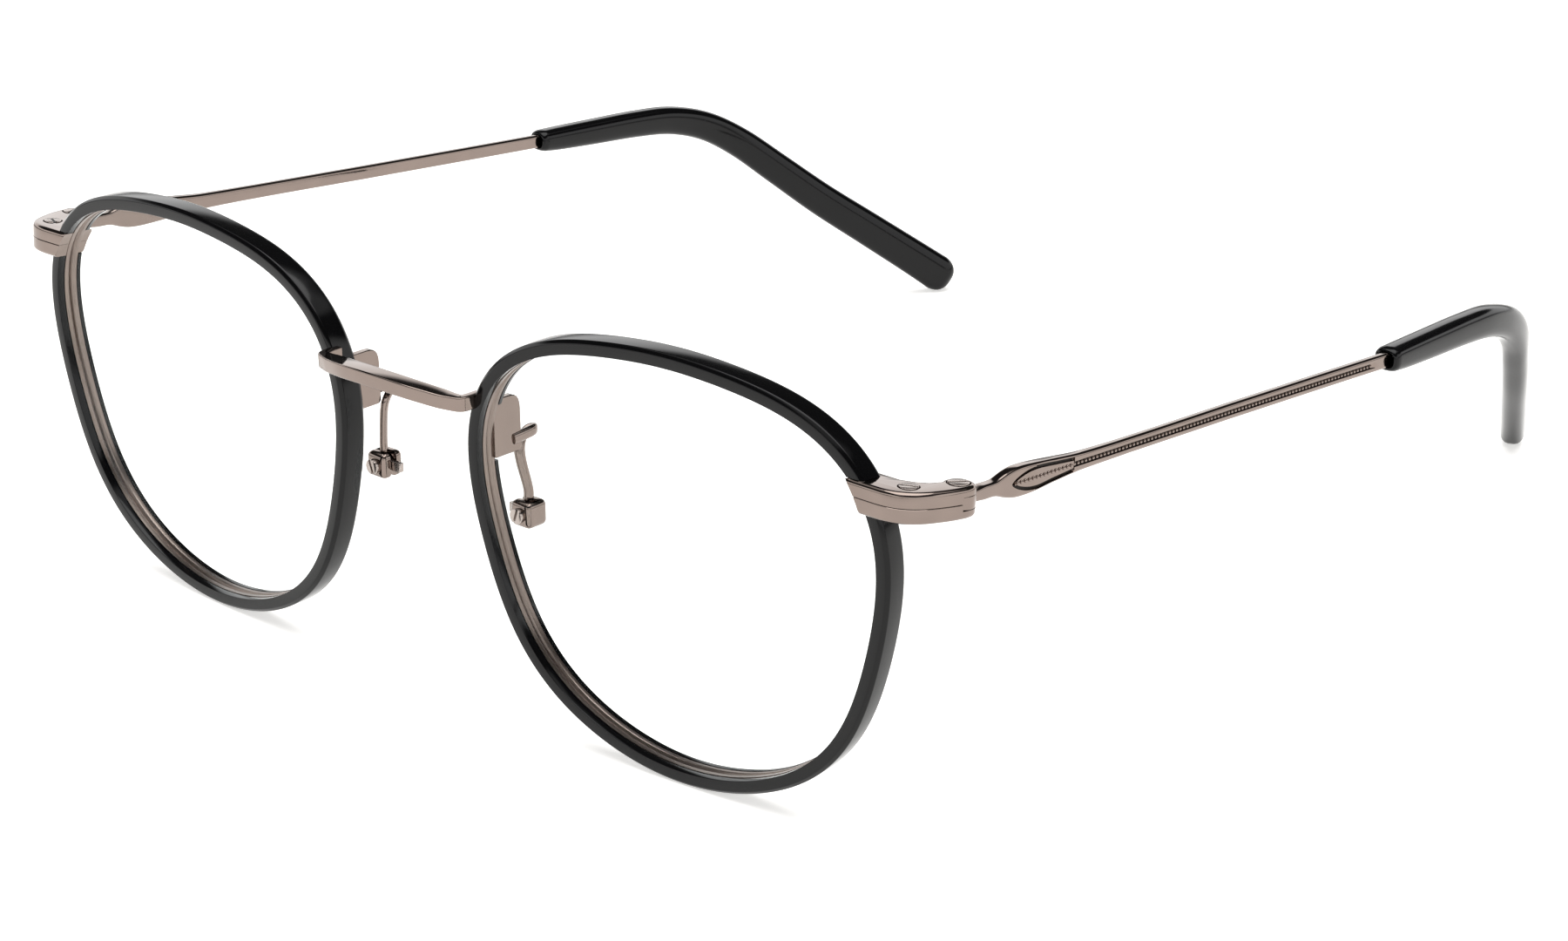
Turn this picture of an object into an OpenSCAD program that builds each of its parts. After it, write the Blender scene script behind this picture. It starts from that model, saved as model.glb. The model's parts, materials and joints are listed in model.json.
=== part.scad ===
// Wire eyeglasses: metal eyewires inside C-shaped black rims, sprung between a barred bridge and two
// screwed end pieces, with three-knuckle hinges, adjustable clear nose pads and black temple tips.
// +X is the wearer's left, +Y points from the front to the ears, +Z is up and Z = 0 is the table.

/* [Rims] */
// Width of one black rim, outside to outside
rim_w = 53; // [46:0.5:60]
// Height of one black rim, outside to outside
rim_h = 45.5; // [38:0.5:52]
// Gap between the two rims where they are closest
rim_gap = 18.3; // [15.5:0.1:23]
// Width of the front lip of the black rim
rim_face = 1.5; // [1.3:0.05:1.8]
// Depth of the black rim, front to back
rim_depth = 3; // [2.8:0.05:3.6]
// Wall of the black rim outside the eyewire
rim_wall = 0.5; // [0.4:0.05:0.7]
// Bevel round the outer front edge of the rim
rim_bevel = 0.35; // [0.2:0.05:0.45]
// Forward lean of the front, in degrees
front_lean = 1.6; // [0:0.1:6]
// Face-form wrap of each rim, in degrees
front_wrap = 3.8; // [0:0.1:5]

/* [Lenses] */
// Thickness of the lens
lens_t = 1.6; // [1.2:0.1:2.2]
// Radius of the lens front surface
lens_curve = 110; // [90:1:160]

/* [Bridge] */
// How far the middle of the bridge stands in front of its ends
bridge_bulge = 1.5; // [0.3:0.1:3]
// How far the middle of the bridge rises above its ends
bridge_rise = 0.8; // [0:0.1:2]
// Height of the bridge bar
bridge_h = 1.5; // [1:0.05:2]
// Depth of the bridge bar at its middle
bridge_t = 2.1; // [1:0.05:2.6]

/* [End pieces and hinges] */
// Height of the end piece and of the whole hinge
hinge_h = 3.1; // [2.7:0.05:3.6]
// Height of the middle knuckle
knuckle_h = 1.3; // [1:0.05:1.6]
// Radius of the hinge knuckles
knuckle_r = 1.7; // [1.5:0.05:2]
// Radius of the hinge screw's shank
hinge_pin_r = 0.6; // [0.5:0.05:0.75]
// Radius of the rim-closing screw's shank
rim_pin_r = 0.55; // [0.45:0.05:0.65]
// Gap between one moving face of a hinge and the next
run_gap = 0.04; // [0.02:0.01:0.06]

/* [Temples] */
// Length of the metal temple, hinge axis to the mouth of the tip
temple_l = 72; // [60:0.5:86]
// Height of the temple wire
wire_h = 1.65; // [1.2:0.05:2]
// Thickness of the temple wire
wire_t = 1; // [0.8:0.05:1.4]
// Height of the paddle behind the hinge
paddle_h = 3; // [2.2:0.05:3.6]
// Downward slope of the temples, in degrees
temple_slope = 4.7; // [0:0.1:7]
// Height of the tip where it swallows the wire
tip_h0 = 2.55; // [2.4:0.05:3.2]
// Height of the tip at its broad end
tip_h1 = 4.9; // [3.6:0.05:6]
// Thickness of the tip
tip_t = 3; // [2.2:0.05:3.6]
// Radius of the wire core inside the tip
core_r = 0.4; // [0.3:0.05:0.45]

/* [Nose pads] */
// Height of the clear pad
pad_h = 13; // [10:0.5:15]
// Width of the clear pad
pad_w = 7; // [5.5:0.25:8.5]
// Thickness of the clear pad
pad_t = 2.4; // [2:0.1:3]
// Side of the pad box
box_s = 2.8; // [2.4:0.05:3.2]
// Radius of the pad screw's shank
pad_pin_r = 0.45; // [0.35:0.05:0.55]

/* [Hidden] */
$fn = 48;
METAL = "#8d827c";
STEEL = "#a39a94";
ACETATE = "#1c1b1c";
CLEAR = "#dfe8ea";

// Outline of a rim: a circle stretched sideways, tapered to the bottom and squared at its corners
OUTLINE_STEPS = 96;
stretch = 0.074;
taper = 0.049;
square_off = 0.0236;
taper_trim = 0.010;
square_trim = 0.0092;
function lobe(a) =
  1 + stretch * cos(2 * a) + taper * sin(3 * a) - square_off * cos(4 * a)
  + taper_trim * sin(5 * a) - square_trim * cos(6 * a);
raw_outline = [for (i = [0 : OUTLINE_STEPS - 1]) let (a = 360 * i / OUTLINE_STEPS) lobe(a) * [cos(a), sin(a)]];
raw_x = [for (p = raw_outline) p.x];
raw_y = [for (p = raw_outline) p.y];
scale_x = rim_w / (max(raw_x) - min(raw_x));
scale_y = rim_h / (max(raw_y) - min(raw_y));
outline = [for (p = raw_outline) [p.x * scale_x, p.y * scale_y]];
function wrapped(i) = (i + OUTLINE_STEPS) % OUTLINE_STEPS;
function unit(v) = v / norm(v);
function outward(i) = let (t = unit(outline[wrapped(i + 1)] - outline[wrapped(i - 1)])) [t.y, -t.x];
function inset(n) = [for (i = [0 : OUTLINE_STEPS - 1]) outline[i] - n * outward(i)];

// Depths inside a rim, from its front face
LIP_FRONT = 0.9;
LIP_REAR = 0.5;
GROOVE_DEPTH = 0.45;
GROOVE_W = 0.5;
wire_back = rim_depth - LIP_REAR;
groove_at = (LIP_FRONT + wire_back) / 2 - GROOVE_W / 2;
wire_in = rim_face + 0.05;
seat_gap = 0.01;
EDGE_GAP = 0.2;

// Where each eye sits
eye_x = rim_gap / 2 + rim_w / 2 * cos(front_wrap);
eye_z = -(min(raw_y) * scale_y * cos(front_lean) + rim_bevel * sin(front_lean));

// Bridge: half of its centre line as [x, y, z, half depth], from the rim to the middle
bridge_end_y = -3.6;
bridge_z = eye_z + 11.5;
bridge_x = rim_gap / 2 + 1.25;
front_depth = bridge_t / 2;
bridge_half = [
  [bridge_x, bridge_end_y + 3.1, bridge_z, 0.5],
  [bridge_x, bridge_end_y + 2.1, bridge_z, 0.5],
  [bridge_x, bridge_end_y + 1.3, bridge_z, 0.52],
  [bridge_x - 0.3, bridge_end_y + 0.35, bridge_z, 0.6],
  [bridge_x - 1.2, bridge_end_y, bridge_z + bridge_rise * 0.08, 0.72],
  [bridge_x * 0.75, bridge_end_y - bridge_bulge * 0.19, bridge_z + bridge_rise * 0.22, front_depth],
  [bridge_x * 0.61, bridge_end_y - bridge_bulge * 0.45, bridge_z + bridge_rise * 0.45, front_depth],
  [bridge_x * 0.46, bridge_end_y - bridge_bulge * 0.71, bridge_z + bridge_rise * 0.7, front_depth],
  [bridge_x * 0.31, bridge_end_y - bridge_bulge * 0.9, bridge_z + bridge_rise * 0.9, front_depth],
  [bridge_x * 0.15, bridge_end_y - bridge_bulge * 0.98, bridge_z + bridge_rise * 0.98, front_depth]
];
bridge_mid = [0, bridge_end_y - bridge_bulge, bridge_z + bridge_rise, front_depth];

// Hinge axis, measured from the middle of the eye, and the closing screw, from the hinge axis
HINGE_OUT = 3.1;
HINGE_BACK = 7.75;
HINGE_UP = 12.15;
hinge_at = [eye_x + rim_w / 2 + HINGE_OUT, HINGE_BACK, eye_z + HINGE_UP];
rim_screw_at = [-2.2, -4.5];
half_h = hinge_h / 2;
half_k = knuckle_h / 2;
HEAD_H = 0.45;
hinge_head_r = hinge_pin_r + 0.45;
rim_head_r = rim_pin_r + 0.4;
SLOT_W = 0.3;
SLOT_D = 0.2;

// Nose-pad hardware, from the middle of the front
plate_at = [rim_gap / 2 + 1.35, eye_z + 7.8];
PLATE_T = 0.8;
PLATE_H = 6.2;
plate_back = rim_depth + 0.4;
box_at = [rim_gap / 2 + 1.7, plate_back + 1.5, eye_z - 2.3];
SLOT_GAP = 0.12;
TAB_T = 0.6;
TAB_R = 0.95;
pad_at = box_at + [-box_s / 2 - 1.35, 1.5, -1];
PAD_SPLAY = -28;
PAD_CANT = -12;

// Temple and tip stations in the hinge's frame: [x, y, z, half height, half thickness]
wire_hh = wire_h / 2;
wire_ht = wire_t / 2;
paddle_hh = paddle_h / 2;
wire_drift = 1.3;
temple_stations = [
  [0, 0.9, 0, half_k - run_gap, 0.85],
  [0, 2.1, 0, half_k - run_gap, 0.72],
  [0, 3.2, 0, 0.74, 0.66],
  [0, 5.4, 0, 0.78, 0.62],
  [0, 6.8, 0, paddle_hh * 0.85, 0.64],
  [0, 8.2, 0, paddle_hh, 0.66],
  [0, 10.5, 0, paddle_hh * 0.98, 0.66],
  [-0.1, 14, 0, paddle_hh * 0.8, 0.62],
  [-0.15, 18, 0, wire_hh + 0.1, wire_ht + 0.05],
  [-0.3, 26, 0, wire_hh, wire_ht],
  [-wire_drift * 0.6, temple_l * 0.6, 0, wire_hh, wire_ht],
  [-wire_drift, temple_l + 0.5, 0, wire_hh, wire_ht]
];
tip_path = [
  [-1.3, 0, 0], [-1.5, 3, 0], [-1.9, 8.5, 0.1], [-2.5, 16.5, 0.25], [-3.1, 22.5, 0], [-4.1, 28, -1.3],
  [-5.7, 33, -3.9], [-8.2, 38, -7.7], [-11.2, 43.5, -12], [-14.6, 49.5, -16.3],
  [-17.8, 55.2, -20.39], [-19.8, 58.7, -22.964]
];
TIP_LAST = len(tip_path) - 1;
TIP_ROUND = [0.88, 0.62, 0.25];
TIP_STEP = [0.9, 1.5, 1.85];
function tip_grow(i) = pow(i / TIP_LAST, 0.8);
function tip_hh(i) = (tip_h0 + (tip_h1 - tip_h0) * tip_grow(i)) / 2;
function tip_point(i) = tip_path[i] + [0, temple_l, 0];
tip_tangent = unit(tip_path[TIP_LAST] - tip_path[TIP_LAST - 1]);
tip_body = [for (i = [0 : TIP_LAST]) [tip_point(i), tip_hh(i), tip_t / 2]];
tip_end = [for (k = [0 : 2]) [
  tip_point(TIP_LAST) + TIP_STEP[k] * tip_tangent,
  tip_hh(TIP_LAST) * TIP_ROUND[k],
  tip_t / 2 * TIP_ROUND[k]
]];
CORE_STOP = TIP_LAST - 2;
CORE_LEAD = 2;
core_path = concat(
  [tip_point(0) - [0, CORE_LEAD, 0]],
  [for (i = [1 : CORE_STOP]) tip_point(i)]
);

// The object's middle, front to back
front_y = bridge_mid.y - front_depth;
back_y = hinge_at.y + (temple_l + tip_path[TIP_LAST].y + 2.18) * cos(temple_slope)
  + (tip_path[TIP_LAST].z - 0.5) * sin(temple_slope);
mid_y = (front_y + back_y) / 2;

// A solid through a row of closed rings of points, with flat ends unless it is a loop
module skin(rings, loop = false) {
  m = len(rings);
  n = len(rings[0]);
  spans = loop ? m : m - 1;
  sides = [for (i = [0 : spans - 1], j = [0 : n - 1], k = [0, 1])
    let (a = i * n, b = ((i + 1) % m) * n, q = (j + 1) % n)
    k == 0 ? [a + j, a + q, b + q] : [a + j, b + q, b + j]];
  ends = loop ? [] : [[for (j = [n - 1 : -1 : 0]) j], [for (j = [0 : n - 1]) (m - 1) * n + j]];
  polyhedron(points = [for (r = rings, p = r) p], faces = concat(sides, ends), convexity = 6);
}

// A ring of points of a rounded rectangle square to a path, with half sizes a (level) and b (upright)
RING_POINTS = 12;
function soft(c) = sign(c) * pow(abs(c), 0.55);
function cross_ring(at, t, a, b) =
  let (s = unit(cross(t, [0, 0, 1])), h = cross(s, t))
  [for (j = [0 : RING_POINTS - 1])
    let (g = 360 * j / RING_POINTS + 15) at + a * soft(cos(g)) * s + b * soft(sin(g)) * h];
function tangent(pts, i) = unit(pts[min(i + 1, len(pts) - 1)] - pts[max(i - 1, 0)]);

// Places
module placed() translate([0, -mid_y, 0]) children();
module sided(side) mirror([side < 0 ? 1 : 0, 0, 0]) children();
module eye(side)
  placed() sided(side) translate([eye_x, 0, eye_z]) rotate([front_lean, 0, 0]) rotate([0, 0, front_wrap])
    children();
module hinge(side)
  placed() sided(side) translate(hinge_at) rotate([-temple_slope, 0, 0]) children();
module pad_frame(side)
  placed() sided(side) translate(box_at) children();
module slab(near, far) translate([0, far, 0]) rotate([90, 0, 0]) linear_extrude(far - near) children();
module eye_filled(n, near, far) slab(near, far) polygon(inset(n));

// Space that the end piece takes out of a rim, and that the pad plate takes out of its back
module endpiece_notch()
  translate([-9.5, -12, -half_h - seat_gap]) cube([9, 12, hinge_h + 2 * seat_gap]);
module plate_notch(grow)
  translate([plate_at.x - PLATE_T / 2 - grow, 0, plate_at.y - PLATE_H / 2 - grow])
    cube([PLATE_T + 2 * grow, plate_back, PLATE_H + 2 * grow]);

// Black rim: a U-shaped channel that hides the eyewire, open at the end piece
module rim(side) {
  section = [
    [rim_face, 0], [rim_face, LIP_FRONT - seat_gap], [rim_wall - seat_gap, LIP_FRONT - seat_gap],
    [rim_wall - seat_gap, wire_back + seat_gap], [rim_face + 0.1, wire_back + seat_gap],
    [rim_face + 0.1, rim_depth], [0.55, rim_depth], [0.16, rim_depth - 0.2], [0, rim_depth - 0.6],
    [0, rim_bevel], [rim_bevel, 0]
  ];
  rings = [for (i = [0 : OUTLINE_STEPS - 1])
    [for (s = section) let (p = outline[i] - s[0] * outward(i)) [p.x, s[1], p.y]]];
  color(ACETATE) difference() {
    eye(side) skin(rings, loop = true);
    hinge(side) endpiece_notch();
    placed() sided(side) plate_notch(seat_gap);
  }
}

// Metal eyewire with the lens groove, slit at the end piece
module eyewire(side) {
  color(METAL) difference() {
    eye(side) difference() {
      eye_filled(rim_wall, LIP_FRONT, wire_back);
      eye_filled(wire_in, LIP_FRONT - 1, wire_back + 1);
      eye_filled(wire_in - GROOVE_DEPTH, groove_at, groove_at + GROOVE_W);
    }
    hinge(side) translate([-9.5, -12, -0.05]) cube([9, 12, 0.1]);
  }
}

// Clear meniscus lens with the rib that sits in the eyewire's groove
module lens(side) {
  color(CLEAR) eye(side) {
    intersection() {
      eye_filled(wire_in + EDGE_GAP, -8, wire_back);
      translate([0, groove_at - 3.4, 0]) difference() {
        translate([0, lens_curve, 0]) sphere(r = lens_curve, $fn = 96);
        translate([0, lens_curve + lens_t, 0]) sphere(r = lens_curve, $fn = 96);
      }
    }
    difference() {
      eye_filled(wire_in - GROOVE_DEPTH + seat_gap, groove_at + seat_gap, groove_at + GROOVE_W - seat_gap);
      eye_filled(wire_in + 0.5, groove_at - 1, groove_at + 2);
    }
  }
}

// Bridge bar between the two rims
module bridge() {
  far_half = [for (i = [len(bridge_half) - 1 : -1 : 0]) let (p = bridge_half[i]) [-p.x, p.y, p.z, p[3]]];
  stations = concat(bridge_half, [bridge_mid], far_half);
  pts = [for (s = stations) [s.x, s.y, s.z]];
  rings = [for (i = [0 : len(pts) - 1]) cross_ring(pts[i], tangent(pts, i), stations[i][3], bridge_h / 2)];
  color(METAL) difference() {
    placed() skin(rings);
    for (side = [-1, 1]) eye(side) eye_filled(0, 0, rim_depth);
  }
}

// Outline of an end piece seen from above, in the hinge's frame
module endpiece_plan() {
  polygon([
    [-8, -7.1], [-3.2, -7.15], [-1.9, -6.9], [-0.6, -6.1], [0.3, -4.9], [0.9, -3.4],
    [knuckle_r, -0.6], [knuckle_r, 0], [0, 0], [-knuckle_r + 0.2, -1.2], [-2.8, -2.5],
    [-4.2, -3.2], [-8, -3.2]
  ]);
  circle(r = knuckle_r);
}

// One half of an end piece, from height z0 to z1, less the eyewire, the opening and the middle knuckle
module endpiece_half(side, z0, z1) {
  difference() {
    hinge(side) translate([0, 0, z0]) linear_extrude(z1 - z0) endpiece_plan();
    eye(side) eye_filled(rim_face, -4, 8);
    eye(side) eye_filled(rim_wall, LIP_FRONT, wire_back);
    hinge(side) translate([0, 0, -half_k - run_gap]) cylinder(r = knuckle_r + 0.2, h = knuckle_h + 2 * run_gap);
    hinge(side) children();
  }
}

module endpiece_upper(side) {
  color(METAL) endpiece_half(side, 0, half_h) {
    union() {
      translate([0, 0, half_k]) cylinder(r = hinge_pin_r + 0.02, h = half_h);
      translate([0, 0, half_h - HEAD_H]) cylinder(r = hinge_head_r + 0.02, h = 1);
      translate([rim_screw_at.x, rim_screw_at.y, -1]) cylinder(r = rim_pin_r + 0.02, h = 4);
      translate([rim_screw_at.x, rim_screw_at.y, half_h - HEAD_H]) cylinder(r = rim_head_r + 0.02, h = 1);
    }
  }
}

module endpiece_lower(side) {
  color(METAL) endpiece_half(side, -half_h, -0.02) {
    union() {
      translate([0, 0, -half_h - 1]) cylinder(r = hinge_pin_r + seat_gap, h = half_h + 1);
      translate([rim_screw_at.x, rim_screw_at.y, -half_h - 1]) cylinder(r = rim_pin_r + seat_gap, h = half_h + 2);
    }
  }
}

// Slotted screw standing on z = 0 with its head flush with z = top
module slotted_screw(shank_r, head_r, bottom, top, turn) {
  color(STEEL) difference() {
    union() {
      translate([0, 0, bottom]) cylinder(r = shank_r, h = top - HEAD_H - bottom);
      translate([0, 0, top - HEAD_H]) cylinder(r = head_r, h = HEAD_H + 0.1);
    }
    translate([0, 0, top + 0.1]) rotate([0, 0, turn]) cube([3 * head_r, SLOT_W, 2 * SLOT_D], center = true);
  }
}

module rim_screw(side)
  hinge(side) translate([rim_screw_at.x, rim_screw_at.y, 0])
    slotted_screw(rim_pin_r, rim_head_r, -half_h, half_h, 25);

module hinge_screw(side)
  hinge(side) slotted_screw(hinge_pin_r, hinge_head_r, -half_h, half_h, 60);

// Metal temple: middle knuckle, neck, paddle, wire and the core that runs on inside the tip
module temple_core(side) {
  hinge(side)
    skin([for (i = [0 : CORE_STOP]) cross_ring(core_path[i], tangent(core_path, i), core_r, core_r)]);
}

module temple(side) {
  pts = [for (s = temple_stations) [s.x, s.y, s.z]];
  rings = [for (i = [0 : len(pts) - 1])
    cross_ring(pts[i], tangent(pts, i), temple_stations[i][4], temple_stations[i][3])];
  color(METAL) {
    hinge(side) difference() {
      union() {
        skin(rings);
        translate([0, 0, -half_k]) cylinder(r = knuckle_r, h = knuckle_h);
      }
      translate([0, 0, -half_h]) cylinder(r = hinge_pin_r + run_gap, h = hinge_h);
    }
    temple_core(side);
  }
}

// Black temple tip, moulded over the core
module temple_tip(side) {
  stations = concat(tip_body, tip_end);
  pts = [for (s = stations) s[0]];
  rings = [for (i = [0 : len(pts) - 1])
    cross_ring(pts[i], tangent(pts, i), stations[i][2], stations[i][1])];
  color(ACETATE) difference() {
    hinge(side) skin(rings);
    hinge(side) translate([-wire_drift - wire_ht - seat_gap, temple_l - 1, -wire_hh - seat_gap])
      cube([wire_t + 2 * seat_gap, 1.6, wire_h + 2 * seat_gap]);
    temple_core(side);
  }
}

// Plate soldered to the back of the eyewire
module pad_plate(side) {
  color(METAL) difference() {
    placed() sided(side) plate_notch(0);
    eye(side) eye_filled(-2, -4, wire_back);
  }
}

// Strip that leaves the plate, loops back and drops to the pad box
module pad_arm(side) {
  x = plate_at.x;
  top = plate_at.y - PLATE_H / 2 + 1.6;
  arm_x = box_at.x;
  pts = [
    [x, plate_back, top], [x, plate_back + 1.6, top + 0.1], [x, plate_back + 2.5, top - 0.2],
    [x, plate_back + 2.75, top - 1], [x + 0.05, plate_back + 2.3, top - 1.9],
    [x + 0.15, plate_back + 1.75, top - 3.2], [arm_x, box_at.y, box_at.z + box_s / 2 + 1.2],
    [arm_x, box_at.y, box_at.z + box_s / 2]
  ];
  rings = [for (i = [0 : len(pts) - 1])
    let (t = tangent(pts, i), s = [1, 0, 0], h = unit(cross(s, t)))
    [for (j = [0 : 7]) let (g = 45 * j + 22.5) pts[i] + 0.55 * cos(g) * s + 0.35 * sin(g) * h]];
  color(METAL) placed() sided(side) difference() {
    skin(rings);
    translate([x - 1, -4, top - 2]) cube([2, 4 + plate_back, 4]);
    translate(box_at - [box_s, box_s, box_s / 2]) cube([2 * box_s, 2 * box_s, box_s]);
  }
}

// Slotted box that holds the pad's tab
module pad_box(side) {
  color(METAL) pad_frame(side) difference() {
    cube(box_s, center = true);
    translate([-box_s, -TAB_T / 2 - SLOT_GAP, -box_s])
      cube([box_s + TAB_R + 0.2, TAB_T + 2 * SLOT_GAP, 2 * box_s]);
    rotate([90, 0, 0]) cylinder(r = pad_pin_r + seat_gap, h = 2 * box_s, center = true);
  }
}

module pad_screw(side)
  pad_frame(side) rotate([90, 0, 0])
    slotted_screw(pad_pin_r, pad_pin_r + 0.35, -box_s / 2 - 0.25, box_s / 2 + HEAD_H, 70);

// Metal tab moulded into the pad, turning on the pad screw
module pad_insert(side) {
  color(STEEL) pad_frame(side) rotate([90, 0, 0]) translate([0, 0, -TAB_T / 2]) linear_extrude(TAB_T)
    difference() {
      union() {
        circle(r = TAB_R);
        translate([-2.6, -0.5]) square([2.6, 1]);
      }
      circle(r = pad_pin_r + run_gap);
    }
}

// Clear soft pad
module nose_pad(side) {
  color(CLEAR) difference() {
    placed() sided(side) translate(pad_at) rotate([0, PAD_CANT, PAD_SPLAY])
      rotate([0, 90, 0]) translate([0, 0, -pad_t / 2])
        linear_extrude(pad_t) scale([pad_h / pad_w, 1]) circle(d = pad_w);
    pad_frame(side) translate([-3, -TAB_T / 2, -0.5]) cube([4, TAB_T, 1]);
    pad_frame(side) translate([-box_s / 2 - 0.3, -box_s / 2 - 0.6, -box_s / 2 - 0.6])
      cube([2 * box_s, box_s + 1.2, box_s + 1.2]);
  }
}

bridge();
rim(1);  // rim_left
rim(-1);  // rim_right
eyewire(1);  // eyewire_left
eyewire(-1);  // eyewire_right
lens(1);  // lens_left
lens(-1);  // lens_right
endpiece_upper(1);  // endpiece_upper_left
endpiece_upper(-1);  // endpiece_upper_right
endpiece_lower(1);  // endpiece_lower_left
endpiece_lower(-1);  // endpiece_lower_right
rim_screw(1);  // rim_screw_left
rim_screw(-1);  // rim_screw_right
hinge_screw(1);  // hinge_screw_left
hinge_screw(-1);  // hinge_screw_right
temple(1);  // temple_left
temple(-1);  // temple_right
temple_tip(1);  // temple_tip_left
temple_tip(-1);  // temple_tip_right
pad_plate(1);  // pad_plate_left
pad_plate(-1);  // pad_plate_right
pad_arm(1);  // pad_arm_left
pad_arm(-1);  // pad_arm_right
pad_box(1);  // pad_box_left
pad_box(-1);  // pad_box_right
pad_screw(1);  // pad_screw_left
pad_screw(-1);  // pad_screw_right
pad_insert(1);  // pad_insert_left
pad_insert(-1);  // pad_insert_right
nose_pad(1);  // nose_pad_left
nose_pad(-1);  // nose_pad_right
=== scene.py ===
"""Wire eyeglasses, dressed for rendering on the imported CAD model."""
import json
import math

import bmesh
import bpy
from bpy.props import FloatProperty, FloatVectorProperty, IntProperty, PointerProperty
from mathutils import Matrix, Vector


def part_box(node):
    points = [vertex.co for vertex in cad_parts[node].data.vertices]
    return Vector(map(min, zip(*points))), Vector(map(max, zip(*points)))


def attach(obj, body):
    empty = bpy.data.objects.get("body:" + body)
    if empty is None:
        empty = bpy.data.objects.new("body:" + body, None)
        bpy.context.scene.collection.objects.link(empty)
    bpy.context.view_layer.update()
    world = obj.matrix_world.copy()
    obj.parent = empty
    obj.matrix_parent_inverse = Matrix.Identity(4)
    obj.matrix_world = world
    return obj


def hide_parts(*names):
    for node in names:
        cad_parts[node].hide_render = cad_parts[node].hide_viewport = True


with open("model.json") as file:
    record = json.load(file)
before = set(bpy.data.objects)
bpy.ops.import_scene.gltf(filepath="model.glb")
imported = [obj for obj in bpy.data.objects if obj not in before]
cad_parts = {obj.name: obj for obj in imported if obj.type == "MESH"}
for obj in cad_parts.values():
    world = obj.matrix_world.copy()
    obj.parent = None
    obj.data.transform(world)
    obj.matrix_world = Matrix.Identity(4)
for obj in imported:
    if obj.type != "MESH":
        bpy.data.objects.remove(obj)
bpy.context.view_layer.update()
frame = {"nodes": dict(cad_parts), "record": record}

bl_info = {
    "name": "Wire eyeglasses",
    "version": (1, 0, 0),
    "blender": (4, 5, 0),
    "location": "View3D > Sidebar > Eyeglasses",
    "description": "Builds the visible pieces of a pair of wire eyeglasses round their CAD model",
    "category": "Add Mesh",
}

MM = 0.001
JOINTS = {joint["name"]: joint for joint in frame["record"]["behaviour"]["joints"]}

# Places that the CAD model gives, in millimetres, on the wearer's left; the hinge axis is a direction
HINGE = Vector(JOINTS["temple_fold_left"]["pos_m"]) / MM
HINGE_AXIS = Vector(JOINTS["temple_fold_left"]["axis"]).normalized()
PAD_PIVOT = Vector(JOINTS["pad_rock_left"]["pos_m"]) / MM
PLATE_BOX = [Vector(corner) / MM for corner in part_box("pad_plate_left")]

# Sizes shared with the CAD model, in millimetres and degrees
RIM_W = 53.0
RIM_H = 45.5
RIM_GAP = 18.3
RIM_FACE = 1.5
RIM_DEPTH = 3.0
RIM_WALL = 0.5
RIM_BEVEL = 0.35
LIP_FRONT = 0.9
WIRE_BACK = 2.5
WIRE_IN = 1.55
GROOVE_FRONT = 1.45
GROOVE_BACK = 1.95
GROOVE_DEPTH = 0.45
LEAN = math.radians(1.6)
WRAP = math.radians(3.8)
SLOPE = math.radians(4.7)
HINGE_BACK = 7.75
HINGE_UP = 12.15
HALF_H = 1.55
EYE = Vector((RIM_GAP / 2 + RIM_W / 2 * math.cos(WRAP), HINGE.y - HINGE_BACK, HINGE.z - HINGE_UP))
LENS_CURVE = 110.0
LENS_T = 1.6
LENS_LEAD = 1.95
BRIDGE_H = 1.5
BRIDGE_BULGE = 1.5
BRIDGE_RISE = 0.8
BRIDGE_UP = 11.5
BRIDGE_REACH = 1.25
BRIDGE_LEAD = 3.6
TEMPLE_L = 72.0
KNUCKLE_R = 1.7
KNUCKLE_HALF = 0.65
BOX_SIDE = 2.8
SCREWS = {"rim": (-2.2, -4.5, 0.95), "hinge": (0, 0, 1.05)}
WIRE_DRIFT = 1.3
SIDES = (("left", 1), ("right", -1))


def linear(hex_colour):
    """Scene-linear colour with alpha, from an sRGB hex value."""
    parts = [int(hex_colour[i:i + 2], 16) / 255 for i in (1, 3, 5)]
    return [p / 12.92 if p <= 0.04045 else ((p + 0.055) / 1.055) ** 2.4 for p in parts] + [1.0]


# ---------------------------------------------------------------------------
# Settings


class GlassesSizes(bpy.types.PropertyGroup):
    edge_radius: FloatProperty(
        name="Edge radius", description="Polished radius on the edges of the black rims",
        default=0.09 * MM, min=0.02 * MM, max=0.15 * MM, unit="LENGTH", precision=5)
    bead_pitch: FloatProperty(
        name="Bead pitch", description="Distance between the milled beads along a temple",
        default=0.6 * MM, min=0.3 * MM, max=0.8 * MM, unit="LENGTH", precision=5)
    bead_radius: FloatProperty(
        name="Bead radius", description="Radius of one milled bead",
        default=0.2 * MM, min=0.1 * MM, max=0.3 * MM, unit="LENGTH", precision=5)
    leaf_depth: FloatProperty(
        name="Leaf depth", description="Depth of the two grooves round the leaf on the paddle",
        default=0.3 * MM, min=0.1 * MM, max=0.4 * MM, unit="LENGTH", precision=5)
    metal_bevel: FloatProperty(
        name="Metal bevel", description="Tumbled radius on the edges of the pad plates",
        default=0.09 * MM, min=0.02 * MM, max=0.2 * MM, unit="LENGTH", precision=5)
    outline_steps: IntProperty(
        name="Outline steps", description="Steps round one rim", default=288, min=96, max=480)


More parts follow.
